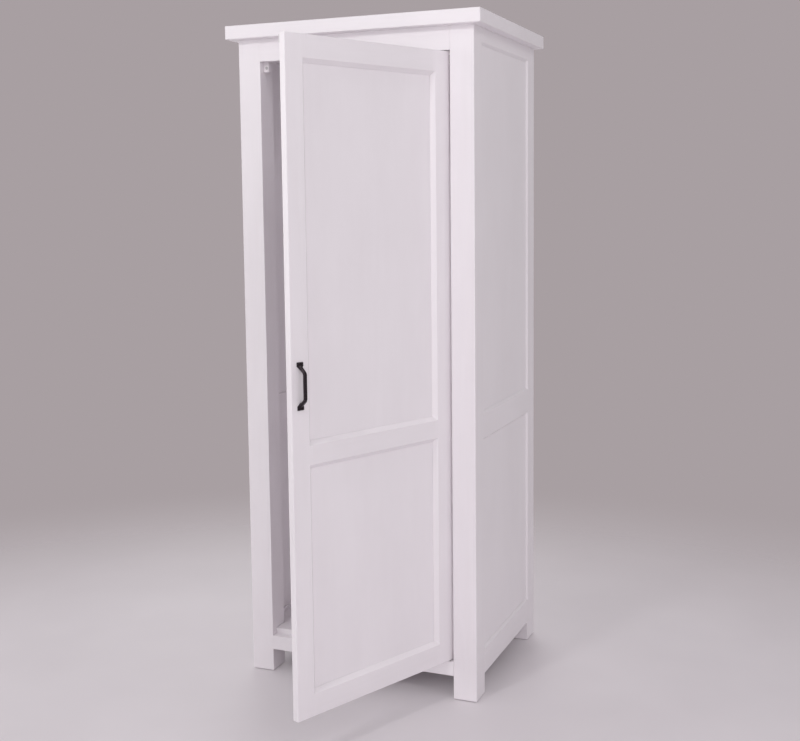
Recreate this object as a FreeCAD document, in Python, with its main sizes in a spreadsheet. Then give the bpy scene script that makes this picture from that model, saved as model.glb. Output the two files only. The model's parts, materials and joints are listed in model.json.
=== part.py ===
import FreeCAD, Part
import os
import re

import Sketcher

# Refrigerator housing cabinet: a frame-and-panel carcass on legs, with one inset door on hidden pivots.
# Millimetres. X runs to the right, Y to the back and Z up.
# The origin is on the floor, under the middle of the carcass.

SIZES = {
    # Carcass
    "carcass_width": 728,
    "carcass_depth": 595,
    "total_height": 1950,
    "post_width": 70,
    "post_depth": 75,
    "post_edge_radius": 1.2,
    "post_foot_chamfer": 1,
    "glide_diameter": 40,
    "glide_thickness": 3,
    "glide_chamfer": 0.8,
    # Top board
    "top_thickness": 39,
    "top_side_overhang": 28,
    "top_front_overhang": 30,
    "top_back_overhang": 12,
    "top_edge_radius": 2.5,
    # Front rails
    "front_top_rail_height": 65,
    "front_bottom_rail_height": 42,
    "front_floor_gap": 71,
    "front_tenon_setback": 7,
    "front_tenon_thickness": 10,
    # Side frames and panels; a rail's height leaves out its bevel
    "side_rail_thickness": 24,
    "side_floor_gap": 62,
    "side_bottom_rail_height": 73,
    "side_middle_rail_level": 759,
    "side_middle_rail_height": 72,
    "side_top_rail_height": 41,
    "side_bevel": 6,
    "side_panel_recess": 6.5,
    "side_panel_thickness": 9,
    # Back frame and panels
    "back_rail_thickness": 20,
    "back_bottom_rail_height": 79,
    "back_middle_rail_level": 765,
    "back_middle_rail_height": 60,
    "back_top_rail_height": 60,
    "back_air_gap": 30,
    "back_panel_recess": 7.5,
    "back_panel_thickness": 6,
    # Joinery
    "tenon_length": 25,
    "groove_depth": 10,
    "fit_clearance": 0.15,
    "end_clearance": 0.5,
    # Inside
    "bottom_board_thickness": 18,
    "air_slot_length": 180,
    "air_slot_width": 45,
    "air_slot_corner_radius": 15,
    "air_slot_to_bearer": 12,
    "bearer_width": 30,
    "bearer_height": 28,
    "cleat_width": 25,
    "cleat_height": 25,
    "stop_block_width": 16,
    "stop_block_depth": 18,
    "stop_block_height": 60,
    "stop_block_drop": 29,
    "magnet_diameter": 9,
    "magnet_depth": 8,
    "magnet_height": 12,
    # Door; a rail's or stile's face leaves out its bevel
    "open_angle": 67,
    "door_gap": 3,
    "door_thickness": 20,
    "door_edge_radius": 2,
    "door_stile_face": 56,
    "door_top_rail_face": 57,
    "door_middle_rail_level": 774.5,
    "door_middle_rail_face": 50,
    "door_bottom_rail_face": 58,
    "door_bevel": 11,
    "door_panel_recess": 12.5,
    "door_panel_thickness": 4.5,
    "door_tenon_length": 40,
    "door_groove_depth": 8,
    # Pivots and catch
    "axis_from_edge": 12,
    "axis_from_face": 4.5,
    "hinge_relief_reach": 10,
    "hinge_relief_depth": 3,
    "pin_diameter": 4,
    "pin_reach": 9.5,
    "pin_tip_chamfer": 0.8,
    "pin_clearance": 0.05,
    "socket_diameter": 6.4,
    "socket_cap": 3,
    "plate_length": 44,
    "plate_width": 7,
    "plate_thickness": 2.5,
    "plate_end": 5,
    "plate_corner_radius": 3,
    "washer_diameter": 8,
    "washer_clearance": 0.2,
    "strike_width": 12,
    "strike_height": 20,
    "strike_thickness": 1.5,
    "stop_clearance": 0.5,
    # Pull handle
    "handle_middle_level": 979.3,
    "handle_root_spacing": 102,
    "handle_leg_run": 17.5,
    "handle_leg_height": 10.6,
    "handle_standoff": 20,
    "handle_bend_radius": 6,
    "handle_bar_width": 10,
    "handle_bar_thickness": 8,
    "handle_bar_chamfer": 2.2,
    "foot_width": 20,
    "foot_beyond_root": 10,
    "foot_side_length": 10.5,
    "foot_point": 9.5,
    "foot_thickness": 4,
    "handle_screw_spacing": 92,
    "handle_screw_diameter": 4,
    "handle_screw_head": 8,
    "handle_screw_head_height": 2.5,
    "handle_screw_bite": 6,
    "handle_screw_clearance": 0.1,
}

doc = FreeCAD.newDocument("RefrigeratorHousing")
sheet = doc.addObject("Spreadsheet::Sheet", "Sizes")
for row, (size_name, size_value) in enumerate(SIZES.items(), 1):
    sheet.set(f"A{row}", size_name)
    sheet.set(f"B{row}", str(size_value))
    sheet.setAlias(f"B{row}", size_name)
doc.recompute()

# Signs are written into the expressions
LEFT, RIGHT = "-", "+"
FRONT, BACK = "-", "+"
DOWN, UP = "-", "+"
SIDES = {"left": LEFT, "right": RIGHT}
ENDS = {"front": FRONT, "back": BACK}
PLANE_NORMAL_SIGN = {"XY_Plane": "+", "XZ_Plane": "-", "YZ_Plane": "+"}

# A sketch's own origin, and the points of a line, arc or circle
ORIGIN_POINT = (-1, 1)
START_POINT, END_POINT, CENTRE_POINT = range(1, 4)

# Places that several pieces share, as expressions of the sizes
HALF_WIDTH = "(carcass_width / 2)"
INNER_X = "(carcass_width / 2 - post_width)"
HALF_DEPTH = "(carcass_depth / 2)"
INNER_Y = "(carcass_depth / 2 - post_depth)"
POST_TOP = "(total_height - top_thickness)"
OPENING_TOP = f"({POST_TOP} - front_top_rail_height)"
OPENING_BOTTOM = "(front_floor_gap + front_bottom_rail_height)"
FRONT_RAIL_BACK = f"(door_thickness + strike_thickness + stop_clearance - {HALF_DEPTH})"
BACK_RAIL_FRONT = f"({HALF_DEPTH} - back_rail_thickness)"
SIDE_RAIL_INNER = f"({HALF_WIDTH} - side_rail_thickness)"
SIDE_PANEL_INNER = f"({HALF_WIDTH} - side_panel_recess - side_panel_thickness)"
SIDE_PANEL_OUTER = f"({HALF_WIDTH} - side_panel_recess)"

FRONT_TENON_Y = (
    f"front_tenon_setback - {HALF_DEPTH}",
    f"front_tenon_setback + front_tenon_thickness - {HALF_DEPTH}",
)
BACK_PANEL_Y = (
    f"{HALF_DEPTH} - back_panel_recess - back_panel_thickness",
    f"{HALF_DEPTH} - back_panel_recess",
)
FRONT_RAIL_Z = {
    "bottom": ("front_floor_gap", OPENING_BOTTOM),
    "top": (OPENING_TOP, POST_TOP),
}
SIDE_RAIL_Z = {
    "bottom": ("side_floor_gap", "(side_floor_gap + side_bottom_rail_height + side_bevel)"),
    "middle": (
        "(side_middle_rail_level - side_bevel)",
        "(side_middle_rail_level + side_middle_rail_height + side_bevel)",
    ),
    "top": (f"({POST_TOP} - side_top_rail_height - side_bevel)", POST_TOP),
}
BACK_RAIL_Z = {
    "bottom": ("side_floor_gap", "(side_floor_gap + back_bottom_rail_height)"),
    "middle": ("back_middle_rail_level", "(back_middle_rail_level + back_middle_rail_height)"),
    "top": (f"({POST_TOP} - back_air_gap - back_top_rail_height)", f"({POST_TOP} - back_air_gap)"),
}
PANEL_BETWEEN = {"lower": ("bottom", "middle"), "upper": ("middle", "top")}

# The door is drawn closed, about its pivot axis, and then turned to its open angle
AXIS_X = f"({INNER_X} - door_gap - axis_from_edge)"
AXIS_Y = f"(axis_from_face - {HALF_DEPTH})"
AXIS = [(AXIS_X, AXIS_Y)]
DOOR_RIGHT = "axis_from_edge"
DOOR_LEFT = f"(axis_from_edge + 2 * door_gap - 2 * {INNER_X})"
DOOR_FRONT = "(-axis_from_face)"
DOOR_BACK = "(door_thickness - axis_from_face)"
DOOR_BOTTOM = f"({OPENING_BOTTOM} + door_gap)"
DOOR_TOP = f"({OPENING_TOP} - door_gap)"
STILE_INNER_RIGHT = f"({DOOR_RIGHT} - door_stile_face - door_bevel)"
STILE_INNER_LEFT = f"({DOOR_LEFT} + door_stile_face + door_bevel)"
DOOR_PANEL_Y = (
    f"{DOOR_FRONT} + door_panel_recess",
    f"{DOOR_FRONT} + door_panel_recess + door_panel_thickness",
)
DOOR_RAIL_Z = {
    "bottom": (DOOR_BOTTOM, f"({DOOR_BOTTOM} + door_bottom_rail_face + door_bevel)"),
    "middle": (
        "(door_middle_rail_level - door_bevel)",
        "(door_middle_rail_level + door_middle_rail_face + door_bevel)",
    ),
    "top": (f"({DOOR_TOP} - door_top_rail_face - door_bevel)", DOOR_TOP),
}

# The catch
MAGNET_X = f"((door_gap + stop_block_width) / 2 - {INNER_X})"
MAGNET_Z = f"({OPENING_TOP} - stop_block_drop + magnet_height)"

# The pull handle stands in the middle of the free stile's flat face
HANDLE_X = f"({DOOR_LEFT} + door_stile_face / 2)"
HANDLE_ROOTS = {sign: f"(handle_middle_level {sign} handle_root_spacing / 2)" for sign in (UP, DOWN)}
HANDLE_SCREWS = [
    (HANDLE_X, f"handle_middle_level {sign} handle_screw_spacing / 2") for sign in (UP, DOWN)
]
FOOT_DRAFT_ANGLE = 18


def with_sheet(text):
    """Puts the sheet's name before each size in an expression."""
    return re.sub(r"[a-z_]+", lambda word: f"Sizes.{word.group()}", text)


def bind(item, prop, text):
    item.setExpression(prop, with_sheet(text))


def facing(sign, near, far):
    """The span from near to far, measured out from the middle to the side that sign gives."""
    return (near, far) if sign == "+" else (f"-({far})", f"-({near})")


def across(reach):
    """The span that reaches as far on both sides of the middle."""
    return (f"-({reach})", reach)


def grown(span, by):
    return (f"{span[0]} - ({by})", f"{span[1]} + ({by})")


def shrunk(span, by):
    return (f"{span[0]} + ({by})", f"{span[1]} - ({by})")


def length_of(span):
    return f"({span[1]}) - ({span[0]})"


def same(one, other):
    return round(one - other, 3) == 0


def at_either(value, ends):
    return any(same(value, end) for end in ends)


def upright(edge):
    return same(abs(edge.tangentAt(edge.FirstParameter).z), 1)


class Piece:
    """One body of the cabinet. A span is a pair of expressions, the low and high side on one axis."""

    made = []

    def __init__(self, label, on_door=False):
        self.body = doc.addObject("PartDesign::Body", label)
        self.body.Label = label
        self.body.AllowCompound = True
        if on_door:
            bind(self.body, "Placement.Base.x", AXIS_X)
            bind(self.body, "Placement.Base.y", AXIS_Y)
            bind(self.body, "Placement.Rotation.Angle", "open_angle")
        Piece.made.append(self)

    def feature(self, kind):
        return self.body.newObject(f"PartDesign::{kind}", f"{self.body.Label}_{kind}")

    def sketch(self, plane, level):
        """A sketch parallel to one of the body's own planes, at a level along X, Y or Z."""
        drawing = self.body.newObject("Sketcher::SketchObject", f"{self.body.Label}_Sketch")
        support = next(item for item in self.body.Origin.OriginFeatures if item.Role == plane)
        drawing.AttachmentSupport = [(support, "")]
        drawing.MapMode = "FlatFace"
        bind(drawing, "AttachmentOffset.Base.z", f"{PLANE_NORMAL_SIGN[plane]}({level})")
        return drawing

    def place(self, drawing, geometry, point, x, y):
        """Holds a point of the sketch at x and y from its origin."""
        for kind, axis, text in (("DistanceX", "x", x), ("DistanceY", "y", y)):
            start = getattr(drawing.getPoint(geometry, point), axis)
            held = drawing.addConstraint(Sketcher.Constraint(kind, *ORIGIN_POINT, geometry, point, start))
            name = f"{axis}_{geometry}_{point}"
            drawing.renameConstraint(held, name)
            bind(drawing, f"Constraints.{name}", text)

    def polygon(self, plane, level, points):
        """A closed outline through points given as pairs of expressions."""
        drawing = self.sketch(plane, level)
        count = len(points)
        rough = Part.makeCircle(1).discretize(count + 1)
        for number in range(count):
            drawing.addGeometry(Part.LineSegment(rough[number], rough[number + 1]), False)
        for number in range(count):
            ends = (number, END_POINT, (number + 1) % count, START_POINT)
            drawing.addConstraint(Sketcher.Constraint("Coincident", *ends))
        for number, (x, y) in enumerate(points):
            self.place(drawing, number, START_POINT, x, y)
        return drawing

    def rectangle(self, plane, level, x, y):
        return self.polygon(plane, level, [(x[0], y[0]), (x[1], y[0]), (x[1], y[1]), (x[0], y[1])])

    def circles(self, plane, level, centres, diameter):
        drawing = self.sketch(plane, level)
        for number, (x, y) in enumerate(centres):
            rough = Part.Circle()
            drawing.addGeometry(rough, False)
            self.place(drawing, number, CENTRE_POINT, x, y)
            held = drawing.addConstraint(Sketcher.Constraint("Diameter", number, 2 * rough.Radius))
            name = f"diameter_{number}"
            drawing.renameConstraint(held, name)
            bind(drawing, f"Constraints.{name}", diameter)
        return drawing

    def pad(self, drawing, depth, along_normal=True, taper=0):
        solid = self.feature("Pad")
        solid.Profile = drawing
        solid.Reversed = not along_normal
        solid.TaperAngle = taper
        bind(solid, "Length", depth)

    def pocket(self, drawing, depth, along_normal=False, taper=0):
        hollow = self.feature("Pocket")
        hollow.Profile = drawing
        hollow.Reversed = along_normal
        hollow.TaperAngle = taper
        bind(hollow, "Length", depth)

    def add(self, x, y, z):
        self.pad(self.rectangle("XY_Plane", z[0], x, y), length_of(z))

    def cut(self, x, y, z):
        self.pocket(self.rectangle("XY_Plane", z[1], x, y), length_of(z))

    def bevel(self, plane, level, x, y, depth, along_normal=False):
        """Slopes the edges of a panel's opening at 45 degrees, with mitred corners."""
        self.pocket(self.rectangle(plane, level, x, y), depth, along_normal, taper=-45)

    def hole(self, plane, level, centres, diameter, depth, along_normal, taper=0):
        self.pocket(self.circles(plane, level, centres, diameter), depth, along_normal, taper)

    def rod(self, plane, level, centres, diameter, length, along_normal, taper=0):
        self.pad(self.circles(plane, level, centres, diameter), length, along_normal, taper)

    def dress(self, kind, prop, size, wanted):
        """Fillets or chamfers the edges that wanted picks from the shape so far."""
        doc.recompute()
        base = self.body.Tip
        box = base.Shape.BoundBox
        names = [f"Edge{n}" for n, edge in enumerate(base.Shape.Edges, 1) if wanted(edge, box)]
        dressing = self.feature(kind)
        dressing.Base = (base, names)
        bind(dressing, prop, size)

    def ease(self, radius, wanted):
        self.dress("Fillet", "Radius", radius, wanted)

    def chamfer(self, size, wanted):
        self.dress("Chamfer", "Size", size, wanted)


# Side openings, whose edges are bevelled on the posts and rails alike
SIDE_OPENING_Y = across(f"{INNER_Y} + side_bevel")
SIDE_OPENING_Z = {
    name: shrunk((SIDE_RAIL_Z[low][1], SIDE_RAIL_Z[high][0]), "-side_bevel")
    for name, (low, high) in PANEL_BETWEEN.items()
}


def bevel_side_openings(piece, side, names):
    level = f"{side}{HALF_WIDTH}"
    for name in names:
        piece.bevel("YZ_Plane", level, SIDE_OPENING_Y, SIDE_OPENING_Z[name], "side_bevel", side == LEFT)


def side_panel_x(side):
    return facing(side, SIDE_PANEL_INNER, SIDE_PANEL_OUTER)


def make_post(end_name, side_name):
    """A leg with mortises for the rails that meet it and grooves for its panels."""
    end, side = ENDS[end_name], SIDES[side_name]
    post = Piece(f"{end_name}_{side_name}_post")
    x, y = facing(side, INNER_X, HALF_WIDTH), facing(end, INNER_Y, HALF_DEPTH)
    post.add(x, y, ("glide_thickness", POST_TOP))
    post.ease("post_edge_radius", lambda edge, box: upright(edge))
    post.chamfer("post_foot_chamfer", lambda edge, box: same(edge.CenterOfMass.z, box.ZMin))

    side_x = grown(side_panel_x(side), "fit_clearance")
    mortise_y = facing(end, INNER_Y, f"{INNER_Y} + tenon_length + end_clearance")
    for z in SIDE_RAIL_Z.values():
        post.cut(side_x, mortise_y, shrunk(z, "groove_depth - fit_clearance"))
    groove_z = (SIDE_RAIL_Z["bottom"][1], SIDE_RAIL_Z["top"][0])
    post.cut(side_x, facing(end, INNER_Y, f"{INNER_Y} + groove_depth"), grown(groove_z, "groove_depth"))

    mortise_x = facing(side, INNER_X, f"{INNER_X} + tenon_length + end_clearance")
    end_rails = FRONT_RAIL_Z if end == FRONT else BACK_RAIL_Z
    end_y = grown(FRONT_TENON_Y if end == FRONT else BACK_PANEL_Y, "fit_clearance")
    for z in end_rails.values():
        post.cut(mortise_x, end_y, shrunk(z, "groove_depth - fit_clearance"))
    if end == BACK:
        groove_x = facing(side, INNER_X, f"{INNER_X} + groove_depth")
        groove_z = (BACK_RAIL_Z["bottom"][1], BACK_RAIL_Z["top"][0])
        post.cut(groove_x, end_y, grown(groove_z, "groove_depth"))
    bevel_side_openings(post, side, PANEL_BETWEEN)


def make_glide(end_name, side_name):
    """A steel disc under a leg, which keeps the wood off the floor."""
    x = f"{SIDES[side_name]}({HALF_WIDTH} - post_width / 2)"
    y = f"{ENDS[end_name]}({HALF_DEPTH} - post_depth / 2)"
    glide = Piece(f"{end_name}_{side_name}_glide")
    glide.rod("XY_Plane", "0", [(x, y)], "glide_diameter", "glide_thickness", True)
    glide.chamfer("glide_chamfer", lambda edge, box: same(edge.CenterOfMass.z, box.ZMin))


def make_side_rail(side_name, place):
    side = SIDES[side_name]
    z = SIDE_RAIL_Z[place]
    rail = Piece(f"{side_name}_side_{place}_rail")
    rail.add(facing(side, SIDE_RAIL_INNER, HALF_WIDTH), across(INNER_Y), z)
    rail.add(side_panel_x(side), across(f"{INNER_Y} + tenon_length"), shrunk(z, "groove_depth"))
    groove_x = grown(side_panel_x(side), "fit_clearance")
    if place != "top":
        rail.cut(groove_x, across(INNER_Y), (f"{z[1]} - groove_depth", z[1]))
    if place != "bottom":
        rail.cut(groove_x, across(INNER_Y), (z[0], f"{z[0]} + groove_depth"))
    bevel_side_openings(rail, side, [name for name, rails in PANEL_BETWEEN.items() if place in rails])


def make_side_panel(side_name, place):
    low, high = PANEL_BETWEEN[place]
    reach = "groove_depth - end_clearance"
    panel = Piece(f"{side_name}_{place}_side_panel")
    z = grown((SIDE_RAIL_Z[low][1], SIDE_RAIL_Z[high][0]), reach)
    panel.add(side_panel_x(SIDES[side_name]), across(f"{INNER_Y} + {reach}"), z)


def make_back_rail(place):
    z = BACK_RAIL_Z[place]
    rail = Piece(f"back_{place}_rail")
    rail.add(across(INNER_X), (BACK_RAIL_FRONT, HALF_DEPTH), z)
    rail.add(across(f"{INNER_X} + tenon_length"), BACK_PANEL_Y, shrunk(z, "groove_depth"))
    groove_y = grown(BACK_PANEL_Y, "fit_clearance")
    if place != "top":
        rail.cut(across(INNER_X), groove_y, (f"{z[1]} - groove_depth", z[1]))
    if place != "bottom":
        rail.cut(across(INNER_X), groove_y, (z[0], f"{z[0]} + groove_depth"))


def make_back_panel(place):
    low, high = PANEL_BETWEEN[place]
    reach = "groove_depth - end_clearance"
    panel = Piece(f"back_{place}_panel")
    z = grown((BACK_RAIL_Z[low][1], BACK_RAIL_Z[high][0]), reach)
    panel.add(across(f"{INNER_X} + {reach}"), BACK_PANEL_Y, z)


def make_front_rail(place):
    z = FRONT_RAIL_Z[place]
    rail = Piece(f"front_{place}_rail")
    rail.add(across(INNER_X), (f"-{HALF_DEPTH}", FRONT_RAIL_BACK), z)
    rail.add(across(f"{INNER_X} + tenon_length"), FRONT_TENON_Y, shrunk(z, "groove_depth"))
    return rail


def make_top_board():
    board = Piece("top_board")
    y = (f"-{HALF_DEPTH} - top_front_overhang", f"{HALF_DEPTH} + top_back_overhang")
    board.add(across(f"{HALF_WIDTH} + top_side_overhang"), y, (POST_TOP, "total_height"))
    board.ease("top_edge_radius", lambda edge, box: True)


def make_bottom_board():
    """The board that the refrigerator stands on, notched round the posts, with an air slot at the back.

    A corner is cut away where the door's hinge edge swings in.
    """
    board = Piece("bottom_board")

    def slot_corner(edge, box):
        return upright(edge) and abs(edge.CenterOfMass.x) < box.XMax / 2

    z = (OPENING_BOTTOM, f"{OPENING_BOTTOM} + bottom_board_thickness")
    y = (FRONT_RAIL_BACK, f"{BACK_RAIL_FRONT} - end_clearance")
    slot_back = f"({BACK_RAIL_FRONT} - bearer_width - air_slot_to_bearer)"
    board.add(across(f"{SIDE_RAIL_INNER} - end_clearance"), y, z)
    board.cut(across("air_slot_length / 2"), (f"{slot_back} - air_slot_width", slot_back), z)
    board.ease("air_slot_corner_radius", slot_corner)
    for side in SIDES.values():
        for end in ENDS.values():
            notch_x = facing(side, f"{INNER_X} - end_clearance", HALF_WIDTH)
            notch_y = facing(end, f"{INNER_Y} - end_clearance", HALF_DEPTH)
            board.cut(notch_x, notch_y, z)
    relief_x = (f"{AXIS_X} - hinge_relief_reach", INNER_X)
    relief_y = (FRONT_RAIL_BACK, f"{FRONT_RAIL_BACK} + hinge_relief_depth")
    board.cut(relief_x, relief_y, z)


def make_bearers():
    """Battens glued behind the bottom rails, which carry the bottom board."""
    z = (f"{OPENING_BOTTOM} - bearer_height", OPENING_BOTTOM)
    end_x = across(f"{INNER_X} - end_clearance")
    side_y = across(f"{INNER_Y} - end_clearance")
    Piece("front_bearer").add(end_x, (FRONT_RAIL_BACK, f"{FRONT_RAIL_BACK} + bearer_width"), z)
    Piece("back_bearer").add(end_x, (f"{BACK_RAIL_FRONT} - bearer_width", BACK_RAIL_FRONT), z)
    for side_name, side in SIDES.items():
        side_x = facing(side, f"{SIDE_RAIL_INNER} - bearer_width", SIDE_RAIL_INNER)
        Piece(f"{side_name}_bearer").add(side_x, side_y, z)


def make_top_cleats():
    """Battens along the side rails that the top board is fixed to."""
    y = across(f"{INNER_Y} - end_clearance")
    z = (f"{POST_TOP} - cleat_height", POST_TOP)
    for side_name, side in SIDES.items():
        x = facing(side, f"{SIDE_RAIL_INNER} - cleat_width", SIDE_RAIL_INNER)
        Piece(f"{side_name}_top_cleat").add(x, y, z)


def make_stop():
    """A block that the door closes against, with a magnet let into its face."""
    bottom = f"({OPENING_TOP} - stop_block_drop)"
    centre = [(MAGNET_X, MAGNET_Z)]
    seat = "magnet_diameter + 2 * fit_clearance"
    block = Piece("stop_block")
    block.add(
        (f"-{INNER_X}", f"stop_block_width - {INNER_X}"),
        (FRONT_RAIL_BACK, f"{FRONT_RAIL_BACK} + stop_block_depth"),
        (bottom, f"{bottom} + stop_block_height"),
    )
    block.hole("XZ_Plane", FRONT_RAIL_BACK, centre, seat, "magnet_depth", False)
    magnet = Piece("catch_magnet")
    magnet.rod("XZ_Plane", FRONT_RAIL_BACK, centre, "magnet_diameter", "magnet_depth", False)


# Door openings, whose edges are bevelled on the stiles and rails alike
DOOR_OPENING_X = (f"{DOOR_LEFT} + door_stile_face", f"{DOOR_RIGHT} - door_stile_face")
DOOR_OPENING_Z = {
    name: shrunk((DOOR_RAIL_Z[low][1], DOOR_RAIL_Z[high][0]), "-door_bevel")
    for name, (low, high) in PANEL_BETWEEN.items()
}


def bevel_door_openings(piece, names):
    for name in names:
        piece.bevel("XZ_Plane", DOOR_FRONT, DOOR_OPENING_X, DOOR_OPENING_Z[name], "door_bevel")


def make_stile(label, x, inner, into_stile):
    """An upright of the door, mortised and grooved on its inner edge and rounded on its outer one."""
    stile = Piece(label, on_door=True)
    stile.add(x, (DOOR_FRONT, DOOR_BACK), (DOOR_BOTTOM, DOOR_TOP))
    outer = "XMin" if into_stile == LEFT else "XMax"

    def outer_upright(edge, box):
        return upright(edge) and same(edge.CenterOfMass.x, getattr(box, outer))

    stile.ease("door_edge_radius", outer_upright)
    slot_y = grown(DOOR_PANEL_Y, "fit_clearance")

    def inward(depth):
        return (f"{inner} - ({depth})", inner) if into_stile == LEFT else (inner, f"{inner} + {depth}")

    for z in DOOR_RAIL_Z.values():
        mortise_z = shrunk(z, "door_groove_depth - fit_clearance")
        stile.cut(inward("door_tenon_length + end_clearance"), slot_y, mortise_z)
    groove_z = grown((DOOR_RAIL_Z["bottom"][1], DOOR_RAIL_Z["top"][0]), "door_groove_depth")
    stile.cut(inward("door_groove_depth"), slot_y, groove_z)
    bevel_door_openings(stile, PANEL_BETWEEN)
    return stile


def make_door_rail(place):
    z = DOOR_RAIL_Z[place]
    inner_x = (STILE_INNER_LEFT, STILE_INNER_RIGHT)
    rail = Piece(f"door_{place}_rail", on_door=True)
    rail.add(inner_x, (DOOR_FRONT, DOOR_BACK), z)
    rail.add(grown(inner_x, "door_tenon_length"), DOOR_PANEL_Y, shrunk(z, "door_groove_depth"))
    groove_y = grown(DOOR_PANEL_Y, "fit_clearance")
    if place != "top":
        rail.cut(inner_x, groove_y, (f"{z[1]} - door_groove_depth", z[1]))
    if place != "bottom":
        rail.cut(inner_x, groove_y, (z[0], f"{z[0]} + door_groove_depth"))
    bevel_door_openings(rail, [name for name, rails in PANEL_BETWEEN.items() if place in rails])


def make_door_panel(place):
    low, high = PANEL_BETWEEN[place]
    reach = "door_groove_depth - end_clearance"
    panel = Piece(f"door_{place}_panel", on_door=True)
    z = grown((DOOR_RAIL_Z[low][1], DOOR_RAIL_Z[high][0]), reach)
    panel.add(grown((STILE_INNER_LEFT, STILE_INNER_RIGHT), reach), DOOR_PANEL_Y, z)


class Pivot:
    """One end of the door's axis: a plate and pin in a rail, and a socketed leaf in the hinge stile."""

    x = ("plate_end - plate_length", "plate_end")
    y = across("plate_width / 2")
    bore = "pin_diameter + 2 * pin_clearance"

    def __init__(self, name, upward, rail, stile):
        self.name = name
        self.upward = upward
        self.sign = UP if upward else DOWN
        self.rail_face = OPENING_BOTTOM if upward else OPENING_TOP
        self.door_face = DOOR_BOTTOM if upward else DOOR_TOP
        self.plate_back = f"({self.rail_face} - ({self.sign}plate_thickness))"
        self.make_plate(rail)
        self.make_pin()
        self.make_leaf(stile)

    def span(self, start, end):
        return (start, end) if self.upward else (end, start)

    def make_plate(self, rail):
        x = tuple(f"{AXIS_X} + {edge}" for edge in self.x)
        y = tuple(f"{AXIS_Y} + {edge}" for edge in self.y)
        z = self.span(self.plate_back, self.rail_face)
        plate = Piece(f"{self.name}_pivot_plate")
        plate.add(x, y, z)
        plate.ease("plate_corner_radius", lambda edge, box: upright(edge))
        plate.hole("XY_Plane", self.rail_face, AXIS, self.bore, "plate_thickness", not self.upward)
        rail.cut(grown(x, "fit_clearance"), grown(y, "fit_clearance"), z)

    def make_pin(self):
        straight = "(2 * plate_thickness + door_gap + pin_reach - pin_tip_chamfer)"
        tip = f"{self.plate_back} {self.sign} {straight}"
        pin = Piece(f"{self.name}_pivot_pin")
        pin.rod("XY_Plane", self.plate_back, AXIS, "pin_diameter", straight, self.upward)
        pin.rod("XY_Plane", tip, AXIS, "pin_diameter", "pin_tip_chamfer", self.upward, taper=-45)

    def make_leaf(self, stile):
        axis = [("0", "0")]
        z = self.span(self.door_face, f"{self.door_face} {self.sign} plate_thickness")
        bore_depth = "(plate_thickness + pin_reach + end_clearance)"
        socket_length = f"({bore_depth} + socket_cap)"
        leaf = Piece(f"{self.name}_pivot_leaf", on_door=True)
        leaf.add(self.x, self.y, z)
        leaf.ease("plate_corner_radius", lambda edge, box: upright(edge))
        leaf.rod("XY_Plane", self.door_face, axis, "socket_diameter", socket_length, self.upward)
        leaf.hole("XY_Plane", self.door_face, axis, self.bore, bore_depth, self.upward)
        stile.cut(grown(self.x, "fit_clearance"), grown(self.y, "fit_clearance"), z)
        socket_hole = "socket_diameter + 2 * fit_clearance"
        hole_depth = f"{socket_length} + end_clearance"
        stile.hole("XY_Plane", self.door_face, axis, socket_hole, hole_depth, self.upward)


def make_washer():
    """The ring that the door's lower leaf rides on."""
    height = "door_gap - washer_clearance"
    washer = Piece("pivot_washer")
    washer.rod("XY_Plane", OPENING_BOTTOM, AXIS, "washer_diameter", height, True)
    washer.hole("XY_Plane", OPENING_BOTTOM, AXIS, Pivot.bore, height, True)


def make_strike():
    """The steel plate on the back of the free stile that the magnet holds."""
    middle = f"({MAGNET_X} - {AXIS_X})"
    x = grown((middle, middle), "strike_width / 2")
    z = grown((MAGNET_Z, MAGNET_Z), "strike_height / 2")
    Piece("strike_plate", on_door=True).add(x, (DOOR_BACK, f"{DOOR_BACK} + strike_thickness"), z)


def draw_handle_bow(handle):
    """The bow from the side: two slanted legs, with a straight grip between them."""
    slope = "handle_leg_run / handle_standoff"

    def leg(sign, face):
        root = f"{HANDLE_ROOTS[sign]} {sign} ({face}handle_leg_height / 2)"
        out = f"(handle_standoff {face} handle_bar_thickness / 2)"
        return [(DOOR_FRONT, root), (f"{DOOR_FRONT} - {out}", f"{root} - ({sign}{slope} * {out})")]

    outer_upper, outer_lower, inner_lower, inner_upper = (
        leg(sign, face) for sign, face in ((UP, "+"), (DOWN, "+"), (DOWN, "-"), (UP, "-"))
    )
    outline = outer_upper + outer_lower[::-1] + inner_lower + inner_upper[::-1]
    return handle.polygon("YZ_Plane", f"{HANDLE_X} - handle_bar_width / 2", outline)


def draw_handle_foot(handle, sign):
    """A foot's outline: square at its outer end and pointed towards the grip."""
    outer = f"{HANDLE_ROOTS[sign]} {sign} foot_beyond_root"
    inner = f"{outer} - ({sign}foot_side_length)"
    left, right = grown((HANDLE_X, HANDLE_X), "foot_width / 2")
    point = (HANDLE_X, f"{inner} - ({sign}foot_point)")
    return handle.polygon(
        "XZ_Plane", DOOR_FRONT, [(left, outer), (right, outer), (right, inner), point, (left, inner)]
    )


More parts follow.
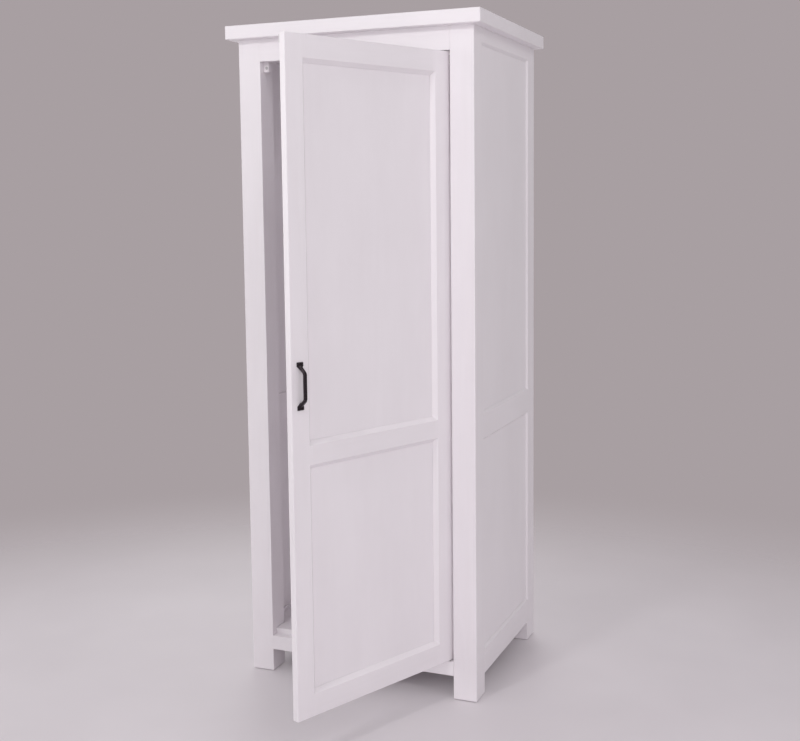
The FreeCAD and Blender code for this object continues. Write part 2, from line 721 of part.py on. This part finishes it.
def make_handle(stile):
    """A cast bow on two pointed feet, held by machine screws from the back of the stile."""
    handle = Piece("pull_handle", on_door=True)

    def crosswise(edge):
        return same(abs(edge.tangentAt(edge.FirstParameter).x), 1)

    def outer_bend(edge, box):
        return crosswise(edge) and same(edge.CenterOfMass.y, box.YMin)

    def inner_bend(edge, box):
        return crosswise(edge) and not at_either(edge.CenterOfMass.y, (box.YMin, box.YMax))

    def long_edge(edge, box):
        on_side = at_either(edge.CenterOfMass.x, (box.XMin, box.XMax))
        return on_side and not same(edge.CenterOfMass.y, box.YMax)

    handle.pad(draw_handle_bow(handle), "handle_bar_width")
    handle.ease("handle_bend_radius + handle_bar_thickness", outer_bend)
    handle.ease("handle_bend_radius", inner_bend)
    handle.chamfer("handle_bar_chamfer", long_edge)
    for sign in HANDLE_ROOTS:
        handle.pad(draw_handle_foot(handle, sign), "foot_thickness", taper=-FOOT_DRAFT_ANGLE)

    hole = "handle_screw_diameter + 2 * handle_screw_clearance"
    handle.hole("XZ_Plane", DOOR_FRONT, HANDLE_SCREWS, hole, "handle_screw_bite + end_clearance", True)
    stile.hole("XZ_Plane", DOOR_BACK, HANDLE_SCREWS, hole, "door_thickness", True)
    screws = Piece("handle_screws", on_door=True)
    screw_length = "door_thickness + handle_screw_bite"
    screws.rod("XZ_Plane", DOOR_BACK, HANDLE_SCREWS, "handle_screw_diameter", screw_length, True)
    screws.rod("XZ_Plane", DOOR_BACK, HANDLE_SCREWS, "handle_screw_head", "handle_screw_head_height", False)


def make_carcass():
    """The frame, its panels and what is inside. Returns the front rails, which carry the door's pivots."""
    for end_name in ENDS:
        for side_name in SIDES:
            make_post(end_name, side_name)
            make_glide(end_name, side_name)
    make_top_board()
    front_rails = {place: make_front_rail(place) for place in FRONT_RAIL_Z}
    for place in BACK_RAIL_Z:
        make_back_rail(place)
    for side_name in SIDES:
        for place in SIDE_RAIL_Z:
            make_side_rail(side_name, place)
        for place in PANEL_BETWEEN:
            make_side_panel(side_name, place)
    for place in PANEL_BETWEEN:
        make_back_panel(place)
    make_bottom_board()
    make_bearers()
    make_top_cleats()
    make_stop()
    return front_rails


def make_door(front_rails):
    hinge_x = (STILE_INNER_RIGHT, DOOR_RIGHT)
    free_x = (DOOR_LEFT, STILE_INNER_LEFT)
    hinge_stile = make_stile("door_hinge_stile", hinge_x, STILE_INNER_RIGHT, RIGHT)
    free_stile = make_stile("door_free_stile", free_x, STILE_INNER_LEFT, LEFT)
    for place in DOOR_RAIL_Z:
        make_door_rail(place)
    for place in PANEL_BETWEEN:
        make_door_panel(place)
    Pivot("lower", True, front_rails["bottom"], hinge_stile)
    Pivot("upper", False, front_rails["top"], hinge_stile)
    make_washer()
    make_strike()
    make_handle(free_stile)


def check_and_export():
    doc.recompute()
    for item in doc.Objects:
        if "Invalid" in item.State or "Error" in item.State:
            raise RuntimeError(f"{item.Label} did not recompute: {item.State}")
    os.makedirs("parts", exist_ok=True)
    for piece in Piece.made:
        shape = piece.body.Shape
        if shape.isNull() or not shape.isValid() or not shape.Solids:
            raise RuntimeError(f"{piece.body.Label} has no valid solid")
        shape.exportStep(f"parts/{piece.body.Label}.step")
        print(f"{piece.body.Label}: {len(shape.Solids)} solid(s), {shape.Volume / 1000:.1f} cm3")


make_door(make_carcass())
check_and_export()
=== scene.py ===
import json
import math

import bmesh
import bpy
from mathutils import Matrix, Vector


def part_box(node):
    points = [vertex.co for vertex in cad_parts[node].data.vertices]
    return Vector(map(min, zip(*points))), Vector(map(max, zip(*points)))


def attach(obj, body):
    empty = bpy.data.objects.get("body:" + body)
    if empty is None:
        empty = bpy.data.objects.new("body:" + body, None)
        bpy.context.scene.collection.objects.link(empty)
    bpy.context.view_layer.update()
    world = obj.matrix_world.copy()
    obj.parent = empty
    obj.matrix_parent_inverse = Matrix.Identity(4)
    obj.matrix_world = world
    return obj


# Looks of the refrigerator housing cabinet: paint, ironwork, small screws, stage, light and camera.
# Metres, in the frame of the solids: X to the right, Y to the back, Z up.

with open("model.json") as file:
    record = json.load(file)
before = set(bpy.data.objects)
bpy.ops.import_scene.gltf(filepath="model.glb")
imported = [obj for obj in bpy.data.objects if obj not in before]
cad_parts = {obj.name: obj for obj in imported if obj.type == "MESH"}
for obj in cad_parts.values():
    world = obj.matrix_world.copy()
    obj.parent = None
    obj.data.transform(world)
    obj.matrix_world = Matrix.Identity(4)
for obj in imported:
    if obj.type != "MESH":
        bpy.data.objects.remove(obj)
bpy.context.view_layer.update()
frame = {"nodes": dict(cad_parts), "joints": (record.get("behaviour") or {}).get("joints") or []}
NODES = frame["nodes"]
HINGE = Vector(frame["joints"][0]["pos_m"])
MM = 0.001

# The door stands open by this angle in the frame of the solids.
OPEN_ANGLE = math.radians(67)


# Materials

# Nearly all of a noise lies between these two values.
NOISE_LOW, NOISE_HIGH = 0.3, 0.7

# The sockets that a Mix node uses for colours.
MIX_SHARE, MIX_ONE, MIX_OTHER, MIX_RESULT = 0, 6, 7, 2

# At a full edge the eased normal has this cosine to the true one, or less.
EDGE_COSINE = 0.8
EDGE_SAMPLES = 4


class Shader:
    """A material with a Principled surface, and short calls for its nodes."""

    def __init__(self, name):
        self.material = bpy.data.materials.new(name)
        self.material.use_nodes = True
        self.tree = self.material.node_tree
        self.surface = self.tree.nodes["Principled BSDF"]

    def node(self, kind, inputs=None, **settings):
        made = self.tree.nodes.new(f"ShaderNode{kind}")
        for name, value in settings.items():
            setattr(made, name, value)
        for name, value in (inputs or {}).items():
            self.feed(made, name, value)
        return made

    def feed(self, node, name, value):
        """Links another node's output into an input, or sets the input to a constant."""
        if isinstance(value, bpy.types.NodeSocket):
            self.tree.links.new(value, node.inputs[name])
        else:
            node.inputs[name].default_value = value

    def set(self, **values):
        for name, value in values.items():
            self.feed(self.surface, name.replace("_", " "), value)

    def place(self):
        return self.node("TexCoord").outputs["Object"]

    def grain_place(self, turn, shift, length):
        """Coordinates whose x runs along the grain and is drawn out by length."""
        inputs = {
            "Vector": self.place(),
            "Location": shift,
            "Rotation": turn,
            "Scale": (length, 1, 1),
        }
        return self.node("Mapping", inputs, vector_type="TEXTURE").outputs["Vector"]

    def noise(self, place, scale, detail=3.0, roughness=0.55, distortion=0.0):
        inputs = {
            "Vector": place,
            "Scale": scale,
            "Detail": detail,
            "Roughness": roughness,
            "Distortion": distortion,
        }
        return self.node("TexNoise", inputs).outputs["Fac"]

    def spread(self, value, to_low, to_high, low=NOISE_LOW, high=NOISE_HIGH):
        """Carries the range from low to high over to another range."""
        inputs = {
            "Value": value,
            "From Min": low,
            "From Max": high,
            "To Min": to_low,
            "To Max": to_high,
        }
        return self.node("MapRange", inputs).outputs["Result"]

    def math(self, operation, one, other):
        made = self.node("Math", operation=operation)
        self.feed(made, 0, one)
        self.feed(made, 1, other)
        return made.outputs["Value"]

    def mix(self, share, one, other):
        """Goes from one colour to the other as the share grows from 0 to 1."""
        made = self.node("Mix", data_type="RGBA")
        self.feed(made, MIX_SHARE, share)
        for socket, colour in ((MIX_ONE, one), (MIX_OTHER, other)):
            linked = isinstance(colour, bpy.types.NodeSocket)
            self.feed(made, socket, colour if linked else (*colour, 1))
        return made.outputs[MIX_RESULT]

    def rounded(self, radius):
        """The normal with its edges eased, and how near an edge is, from 0 to 1."""
        eased = self.node("Bevel", {"Radius": radius}, samples=EDGE_SAMPLES).outputs["Normal"]
        true = self.node("NewGeometry").outputs["Normal"]
        alike = self.node("VectorMath", {0: eased, 1: true}, operation="DOT_PRODUCT")
        return eased, self.spread(alike.outputs["Value"], 0.0, 1.0, low=1.0, high=EDGE_COSINE)

    def bump(self, height, distance, strength, normal):
        inputs = {"Height": height, "Distance": distance, "Strength": strength, "Normal": normal}
        return self.node("Bump", inputs).outputs["Normal"]


ALONG_X = (0, 0, 0)
ALONG_Y = (0, 0, math.pi / 2)
ALONG_Z = (0, -math.pi / 2, 0)
ALONG_DOOR = (0, 0, OPEN_ANGLE)

PAINT_LIGHT, PAINT_DARK = (0.900, 0.862, 0.891), (0.872, 0.833, 0.862)
PAINT_STREAK, STREAK_MOST = (0.83, 0.788, 0.81), 0.3
PAINT_WORN, WORN_MOST = (0.70, 0.64, 0.60), 0.35
PAINT_EDGE = 1.0 * MM
FIGURE_HEIGHT, BRUSH_HEIGHT = 0.7, 0.3

# Roughness of the smoothest and the roughest patches, and what the brush marks add to it.
PAINT_SHEEN, BRUSH_SHEEN = (0.33, 0.43), (-0.03, 0.03)

# How far one piece lies from the next in the pattern of the wood.
GRAIN_STEP = (0.37, 0.61, 0.23)


def paint(name, turn, seed, grain):
    """Satin white paint on solid wood: the grain and the brush show faintly through it."""
    look = Shader(name)
    shift = [step * seed for step in GRAIN_STEP]
    wood_place = look.grain_place(turn, shift, length=14)
    figure = look.noise(wood_place, scale=55, detail=4, roughness=0.6, distortion=0.4)
    brush_place = look.grain_place(turn, shift, length=60)
    brush = look.noise(brush_place, scale=420, detail=2, roughness=0.5)
    cloud = look.noise(look.grain_place(turn, shift, length=2), scale=7)
    eased, edge = look.rounded(PAINT_EDGE)

    tone = look.mix(look.spread(cloud, 0, 1), PAINT_DARK, PAINT_LIGHT)
    streak = look.spread(figure, 0, STREAK_MOST * grain, low=0.35, high=0.75)
    tone = look.mix(streak, tone, PAINT_STREAK)
    worn = look.math("MULTIPLY", edge, look.spread(figure, 0, WORN_MOST, low=0.45))
    tone = look.mix(worn, tone, PAINT_WORN)

    sheen = look.math("ADD", look.spread(cloud, *PAINT_SHEEN), look.spread(brush, *BRUSH_SHEEN))
    ridges = look.math("MULTIPLY", figure, FIGURE_HEIGHT * grain)
    height = look.math("ADD", ridges, look.math("MULTIPLY", brush, BRUSH_HEIGHT))
    look.set(Base_Color=tone, Roughness=sheen, Specular_IOR_Level=0.45)
    look.set(Normal=look.bump(height, distance=0.25 * MM, strength=0.5, normal=eased))
    return look.material


IRON_LIGHT, IRON_DARK = (0.008, 0.0066, 0.0077), (0.004, 0.0033, 0.0039)
IRON_RUBBED, RUBBED_SHARES = (0.05, 0.043, 0.046), (0.1, 0.7)
IRON_GLINT = (1.0, 0.82, 0.94, 1)
IRON_SHEEN = (0.22, 0.36)
IRON_EDGE = 0.9 * MM


def iron(name):
    """Black waxed cast iron, a little rough from the mould and rubbed along its edges."""
    look = Shader(name)
    place = look.place()
    cast = look.noise(place, scale=700, detail=4, roughness=0.6)
    patch = look.noise(place, scale=90, detail=2)
    eased, edge = look.rounded(IRON_EDGE)

    tone = look.mix(look.spread(patch, 0, 1), IRON_DARK, IRON_LIGHT)
    rubbed = look.math("MULTIPLY", edge, look.spread(cast, *RUBBED_SHARES, low=0.35))
    tone = look.mix(rubbed, tone, IRON_RUBBED)

    look.set(Base_Color=tone, Roughness=look.spread(cast, *IRON_SHEEN))
    look.set(Specular_IOR_Level=0.42, Specular_Tint=IRON_GLINT)
    look.set(Normal=look.bump(cast, distance=0.3 * MM, strength=0.45, normal=eased))
    return look.material


STEEL_LIGHT, STEEL_DARK = (0.64, 0.635, 0.62), (0.53, 0.53, 0.54)
STEEL_BRIGHT, BRIGHT_SHARES = (0.78, 0.78, 0.77), (0.2, 0.8)
STEEL_SHEEN, CLOUD_SHEEN = (0.24, 0.36), (0, 0.08)
STEEL_EDGE = 0.3 * MM


def steel(name):
    """Zinc-plated steel with fine rolling marks."""
    look = Shader(name)
    rolled_place = look.grain_place(ALONG_X, shift=(0, 0, 0), length=40)
    marks = look.noise(rolled_place, scale=1500, detail=2)
    cloud = look.noise(look.place(), scale=160)
    eased, edge = look.rounded(STEEL_EDGE)

    tone = look.mix(look.spread(cloud, 0, 1), STEEL_DARK, STEEL_LIGHT)
    bright = look.math("MULTIPLY", edge, look.spread(cloud, *BRIGHT_SHARES))
    tone = look.mix(bright, tone, STEEL_BRIGHT)

    shine = look.math("ADD", look.spread(marks, *STEEL_SHEEN), look.spread(cloud, *CLOUD_SHEEN))
    look.set(Base_Color=tone, Roughness=shine, Metallic=1.0)
    look.set(Normal=look.bump(marks, distance=0.05 * MM, strength=0.4, normal=eased))
    return look.material


def dress(node, material):
    slots = NODES[node].data.materials
    slots.clear()
    slots.append(material)


STEEL = steel("zinc_plated_steel")
IRON = iron("black_cast_iron")
IRON_NODES = ("pull_handle",)
STEEL_NODES = (
    "front_left_glide",
    "front_right_glide",
    "back_left_glide",
    "back_right_glide",
    "lower_pivot_plate",
    "upper_pivot_plate",
    "lower_pivot_pin",
    "upper_pivot_pin",
    "lower_pivot_leaf",
    "upper_pivot_leaf",
    "pivot_washer",
    "catch_magnet",
    "strike_plate",
    "handle_screws",
)

# How strongly the grain shows on the panels and on all other wood.
PANEL_GRAIN, OTHER_GRAIN = 0.6, 1.0


def grain_turn(node):
    if any(word in node for word in ("post", "stile", "panel", "stop_block")):
        return ALONG_Z
    if node.startswith("door_"):
        return ALONG_DOOR
    if node.startswith(("left_", "right_")):
        return ALONG_Y
    return ALONG_X


for seed, node in enumerate(sorted(NODES), 1):
    if node in IRON_NODES:
        dress(node, IRON)
    elif node in STEEL_NODES:
        dress(node, STEEL)
    else:
        grain = PANEL_GRAIN if "panel" in node else OTHER_GRAIN
        dress(node, paint(f"paint_{node}", grain_turn(node), seed, grain))


# Small screws

HEAD_SIDES = 28
HEAD_SINK = 0.8 * MM
SUNK_SHARE = 0.72

# The head above the work, from its rim to its crown, in shares of its radius and of its rise.
HEAD_PROFILE = ((1.0, 0.0), (0.97, 0.35), (0.86, 0.75), (0.68, 1.0))

# The arms of the cross recess, in shares of the head's radius. They narrow towards its floor.
CROSS_HALF_WIDTH, CROSS_REACH = 0.11, 0.5
CROSS_NARROWING = 0.8
CROSS_FLOOR = -0.5 * HEAD_SINK


def ring(mesh, radius, height):
    step = 2 * math.pi / HEAD_SIDES
    return [
        mesh.verts.new((radius * math.cos(n * step), radius * math.sin(n * step), height))
        for n in range(HEAD_SIDES)
    ]


def around(points):
    """Each point of a closed loop with the one after it."""
    return zip(points, points[1:] + points[:1])


def bridge(mesh, low, high):
    for (low_here, low_next), (high_here, high_next) in zip(around(low), around(high)):
        mesh.faces.new((low_here, low_next, high_next, high_here))


def screw_head(radius, rise):
    """A raised countersunk head with a cross recess. Its axis is Z and the work's face is at Z 0."""
    mesh = bmesh.new()
    rings = [ring(mesh, SUNK_SHARE * radius, -HEAD_SINK)]
    rings += [ring(mesh, across * radius, up * rise) for across, up in HEAD_PROFILE]
    for low, high in zip(rings, rings[1:]):
        bridge(mesh, low, high)
    mesh.faces.new(list(reversed(rings[0])))

    wide, reach = CROSS_HALF_WIDTH * radius, CROSS_REACH * radius
    corner = [(reach, -wide), (reach, wide), (wide, wide)]
    outline = []
    for quarter in range(4):
        turn = Matrix.Rotation(quarter * math.pi / 2, 2)
        outline += [turn @ Vector(point) for point in corner]
    top = [mesh.verts.new((x, y, rise)) for x, y in outline]
    bottom = [
        mesh.verts.new((CROSS_NARROWING * x, CROSS_NARROWING * y, CROSS_FLOOR)) for x, y in outline
    ]
    top_edges = [mesh.edges.new(pair) for pair in around(top)]
    bridge(mesh, bottom, top)
    mesh.faces.new(bottom)
    crown_edges = [mesh.edges.get(pair) for pair in around(rings[-1])]
    bmesh.ops.triangle_fill(mesh, use_beauty=True, edges=crown_edges + top_edges)
    bmesh.ops.recalc_face_normals(mesh, faces=mesh.faces)
    return mesh


SCREW_RISE = 0.3 * MM
SCREW_TURNS = (0.3, 1.1, 0.7, 0.1, 0.9, 0.5)


def screws(name, body, places, radius, rise=SCREW_RISE):
    """One piece of several heads, each of which stopped at another angle.

    A place is a point on the work's face and the normal there.
    """
    whole = bmesh.new()
    for n, (at, normal) in enumerate(places):
        head = screw_head(radius, rise)
        facing = Vector(normal).to_track_quat("Z", "Y").to_matrix().to_4x4()
        turn = Matrix.Rotation(SCREW_TURNS[n % len(SCREW_TURNS)], 4, "Z")
        head.transform(Matrix.Translation(at) @ facing @ turn)
        part = bpy.data.meshes.new("head")
        head.to_mesh(part)
        whole.from_mesh(part)
        head.free()
        bpy.data.meshes.remove(part)
    data = bpy.data.meshes.new(name)
    whole.to_mesh(data)
    whole.free()
    data.materials.append(STEEL)
    piece = bpy.data.objects.new(name, data)
    bpy.context.scene.collection.objects.link(piece)
    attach(piece, body)


UP, DOWN, TO_BACK, TO_FRONT = (0, 0, 1), (0, 0, -1), (0, 1, 0), (0, -1, 0)
TO_RIGHT, TO_LEFT = (1, 0, 0), (-1, 0, 0)
BACK_OF_DOOR = Matrix.Rotation(OPEN_ANGLE, 3, "Z") @ Vector(TO_BACK)


def door_point(x, y, z):
    """A point of the open door, from its place about the hinge axis on the closed door."""
    turned = Matrix.Rotation(OPEN_ANGLE, 3, "Z") @ Vector((x, y, 0))
    return Vector((HINGE.x + turned.x, HINGE.y + turned.y, z))


def door_box(node):
    """The low and high corner of a node of the door, about the hinge axis on the closed door."""
    piece = NODES[node]
    axis = Vector((HINGE.x, HINGE.y, 0))
    closing = Matrix.Rotation(-OPEN_ANGLE, 3, "Z")
    points = [closing @ (piece.matrix_world @ corner.co - axis) for corner in piece.data.vertices]
    return [Vector(end(values) for values in zip(*points)) for end in (min, max)]


# Screws of the pivots, and where they stand along the closed door from the hinge axis
PIVOT_SCREWS = (-15 * MM, -31 * MM)
PIVOT_SCREW_RADIUS = 2.6 * MM

lower_face, upper_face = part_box("lower_pivot_plate")[1].z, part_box("upper_pivot_plate")[0].z
plate_places = [(Vector((HINGE.x + x, HINGE.y, lower_face)), UP) for x in PIVOT_SCREWS]
plate_places += [(Vector((HINGE.x + x, HINGE.y, upper_face)), DOWN) for x in PIVOT_SCREWS]
screws("pivot_plate_screws", "carcass", plate_places, PIVOT_SCREW_RADIUS)

door_bottom, door_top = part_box("lower_pivot_leaf")[0].z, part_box("upper_pivot_leaf")[1].z
leaf_places = [(door_point(x, 0, door_bottom), DOWN) for x in PIVOT_SCREWS]
leaf_places += [(door_point(x, 0, door_top), UP) for x in PIVOT_SCREWS]
screws("pivot_leaf_screws", "door", leaf_places, PIVOT_SCREW_RADIUS)

# Screws near the ends of the strike plate
STRIKE_SCREW_INSET = 2.8 * MM
STRIKE_SCREW_RADIUS = 1.7 * MM
STRIKE_SCREW_RISE = 0.2 * MM

low, high = door_box("strike_plate")
strike_places = [
    (door_point((low.x + high.x) / 2, high.y, z), BACK_OF_DOOR)
    for z in (low.z + STRIKE_SCREW_INSET, high.z - STRIKE_SCREW_INSET)
]
screws("strike_screws", "door", strike_places, STRIKE_SCREW_RADIUS, STRIKE_SCREW_RISE)

# Crowns on the screws that hold the pull from inside the door
CROWN_SHARE = 0.98
CROWN_RISE = 0.7 * MM

low, high = door_box("handle_screws")
head_radius = (high.x - low.x) / 2
crown_places = [
    (door_point((low.x + high.x) / 2, high.y, z), BACK_OF_DOOR)
    for z in (low.z + head_radius, high.z - head_radius)
]
screws("handle_screw_crowns", "door", crown_places, CROWN_SHARE * head_radius, CROWN_RISE)

# Screws of the stop block, and how far they stand below its top
STOP_SCREW_DROPS = (8 * MM, 22 * MM)
STOP_SCREW_RADIUS = 3.2 * MM

low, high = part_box("stop_block")
middle = (low + high) / 2
stop_places = [(Vector((middle.x, high.y, high.z - drop)), TO_BACK) for drop in STOP_SCREW_DROPS]
screws("stop_block_screws", "carcass", stop_places, STOP_SCREW_RADIUS)

# Screws of the top cleats, upwards and sideways, and where they stand from front to back
UPWARD_SCREWS = (-0.16, 0.0, 0.16)
SIDEWAYS_SCREWS = (-0.08, 0.08)
BATTEN_SCREW_RADIUS = 3.6 * MM

cleat_places = []
for side in ("left", "right"):
    low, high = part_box(f"{side}_top_cleat")
    middle = (low + high) / 2
    inner_x, inward = (high.x, TO_RIGHT) if side == "left" else (low.x, TO_LEFT)
    for y in UPWARD_SCREWS:
        cleat_places.append((Vector((middle.x, y, low.z)), DOWN))
    for y in SIDEWAYS_SCREWS:
        cleat_places.append((Vector((inner_x, y, middle.z)), inward))
screws("top_cleat_screws", "carcass", cleat_places, BATTEN_SCREW_RADIUS)

# Screws of the bearers, and where they stand in shares of half a bearer's length
BEARER_SCREWS = (-0.7, 0.0, 0.7)

bearer_places = []
for name, inward in (
    ("front_bearer", TO_BACK),
    ("back_bearer", TO_FRONT),
    ("left_bearer", TO_RIGHT),
    ("right_bearer", TO_LEFT),
):
    low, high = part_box(name)
    middle = (low + high) / 2
    half = (high - low) / 2
    along = Vector(TO_RIGHT if inward in (TO_BACK, TO_FRONT) else TO_BACK)
    face = middle + Vector([way * size for way, size in zip(inward, half)])
    for share in BEARER_SCREWS:
        bearer_places.append((face + along * share * half.dot(along), inward))
screws("bearer_screws", "carcass", bearer_places, BATTEN_SCREW_RADIUS)


# Stage and light

FLOOR_HALF_WIDTH = 9
# The floor's tone as the camera sees it, and the colour of its painted glow.
FLOOR_LIGHT, FLOOR_DARK = (0.58, 0.544, 0.568), (0.558, 0.522, 0.546)

# The floor's tone for the rays that only carry light.
FLOOR_TO_LIGHT = (0.775, 0.726, 0.759)

# The painted glow that lifts the floor's shadow, and the fade into the backdrop, by distance from a point.
GLOW_MIDDLE, GLOW_START, GLOW_END, GLOW_MOST = (0, 0.05, 0), 0.2, 0.5, 0.25
FADE_MIDDLE, FADE_START, FADE_END = (0.25, -1.3, 0), 1.7, 3.6

BACKDROP = (0.392, 0.347, 0.361, 1)
AMBIENT = (1.0, 0.975, 0.99, 1)
AMBIENT_STRENGTH = 0.465


def looking_rays(tree):
    """1 on camera, glossy and transmission rays, and 0 on the rays that only carry light."""
    path = tree.nodes.new("ShaderNodeLightPath")
    looking = path.outputs["Is Camera Ray"]
    for ray in ("Is Glossy Ray", "Is Transmission Ray"):
        either = tree.nodes.new("ShaderNodeMath")
        either.operation = "MAXIMUM"
        tree.links.new(looking, either.inputs[0])
        tree.links.new(path.outputs[ray], either.inputs[1])
        looking = either.outputs["Value"]
    return looking


def mix_shaders(tree, share, one, other, output):
    """Sends to the output one shader where the share is 0, and the other where it is 1."""
    mixed = tree.nodes.new("ShaderNodeMixShader")
    for socket, source in enumerate((share, one, other)):
        tree.links.new(source, mixed.inputs[socket])
    tree.links.new(mixed.outputs["Shader"], output.inputs["Surface"])


def floor_look():
    """Pale and even, its shadow lifted by a painted glow, and thinning out into the backdrop."""
    look = Shader("pale_floor")
    place = look.place()
    looking = looking_rays(look.tree)

    def rise(middle, start, end, most):
        """Grows smoothly from 0 at one distance from a point to the most at another."""
        away = look.node("VectorMath", {0: place, 1: middle}, operation="DISTANCE").outputs["Value"]
        inputs = {"Value": away, "From Min": start, "From Max": end, "To Max": most}
        return look.node("MapRange", inputs, interpolation_type="SMOOTHSTEP").outputs["Result"]

    cloud = look.noise(place, scale=2.5, detail=2)
    tone = look.mix(look.spread(cloud, 0, 1), FLOOR_DARK, FLOOR_LIGHT)
    # A painted glow, none under the cabinet, lifts the floor's shadow over a darker tone.
    painted_glow = rise(GLOW_MIDDLE, GLOW_START, GLOW_END, GLOW_MOST)
    look.set(Base_Color=look.mix(looking, FLOOR_TO_LIGHT, tone))
    look.set(Roughness=0.55, Specular_IOR_Level=0.3)
    look.set(Emission_Color=tone, Emission_Strength=look.math("MULTIPLY", painted_glow, looking))

    fade = rise(FADE_MIDDLE, FADE_START, FADE_END, 1.0)
    clear = look.node("BsdfTransparent").outputs["BSDF"]
    output = look.tree.nodes["Material Output"]
    mix_shaders(look.tree, fade, look.surface.outputs["BSDF"], clear, output)
    return look.material


def make_floor():
    mesh = bmesh.new()
    bmesh.ops.create_grid(mesh, x_segments=1, y_segments=1, size=FLOOR_HALF_WIDTH)
    data = bpy.data.meshes.new("floor")
    mesh.to_mesh(data)
    mesh.free()
    floor = bpy.data.objects.new("floor", data)
    bpy.context.scene.collection.objects.link(floor)
    data.materials.append(floor_look())


def make_world():
    """Even soft light, with a plain grey backdrop where the camera and reflections look."""
    world = bpy.data.worlds.new("studio")
    world.use_nodes = True
    tree = world.node_tree
    tree.nodes.clear()
    light = tree.nodes.new("ShaderNodeBackground")
    light.inputs["Color"].default_value = AMBIENT
    light.inputs["Strength"].default_value = AMBIENT_STRENGTH
    seen = tree.nodes.new("ShaderNodeBackground")
    seen.inputs["Color"].default_value = BACKDROP
    output = tree.nodes.new("ShaderNodeOutputWorld")
    looking = looking_rays(tree)
    mix_shaders(tree, looking, light.outputs["Background"], seen.outputs["Background"], output)
    bpy.context.scene.world = world


WHITE = (1, 1, 1)
ROSE = (1.0, 0.96, 1.0)


def make_lamp(name, at, aim, size, power, colour=WHITE):
    data = bpy.data.lights.new(name, "AREA")
    data.shape = "RECTANGLE"
    data.size, data.size_y = size
    data.energy = power
    data.color = colour
    lamp = bpy.data.objects.new(name, data)
    lamp.location = at
    lamp.rotation_euler = (Vector(aim) - Vector(at)).to_track_quat("-Z", "Y").to_euler()
    bpy.context.scene.collection.objects.link(lamp)


make_floor()
make_world()
make_lamp("key", (-0.5, -2.8, 3.0), aim=(0, -0.3, 1.1), size=(0.35, 0.35), power=18.5)
make_lamp("front_fill", (2.6, -4.2, 1.9), aim=(0, -0.3, 1.0), size=(3.2, 2.6), power=46, colour=ROSE)
make_lamp("left_fill", (-3.4, -2.2, 1.6), aim=(0, -0.3, 1.0), size=(2.4, 2.0), power=29)
make_lamp("right_overhead", (2.6, -1.6, 3.6), aim=(0, -0.2, 0.6), size=(1.2, 0.9), power=13.5, colour=ROSE)
make_lamp("low_fill", (1.5, -1.5, 0.03), aim=(1.5, -1.49, 3.0), size=(2.0, 2.0), power=2.0)
make_lamp("back_fill", (-2.2, 4.2, 2.4), aim=(0, 0, 1.0), size=(3.0, 2.4), power=45)


# Camera, with its focal length and the row of its axis in pixels of the photograph

IMAGE_WIDTH, IMAGE_HEIGHT = 800, 741
FOCAL_LENGTH_PIXELS = 1172.90
CENTRE_ROW = 326
CAMERA_AT = (1.39912, -3.37162, 1.42885)
YAW, PITCH, ROLL = 0.389126, -0.103815, 0.010909


def make_camera():
    data = bpy.data.cameras.new("camera")
    data.sensor_fit = "HORIZONTAL"
    data.lens = FOCAL_LENGTH_PIXELS / IMAGE_WIDTH * data.sensor_width
    data.shift_y = (CENTRE_ROW - IMAGE_HEIGHT / 2) / IMAGE_WIDTH
    camera = bpy.data.objects.new("camera", data)
    turn = Matrix.Rotation(YAW, 3, "Z") @ Matrix.Rotation(PITCH, 3, "X")
    turn @= Matrix.Rotation(ROLL, 3, "Y")
    right, forward, up = turn.col
    axes = Matrix((right, up, -forward)).transposed()
    camera.matrix_world = Matrix.Translation(CAMERA_AT) @ axes.to_4x4()
    bpy.context.scene.collection.objects.link(camera)
    bpy.context.scene.camera = camera


make_camera()
bpy.context.scene.view_settings.view_transform = "Standard"
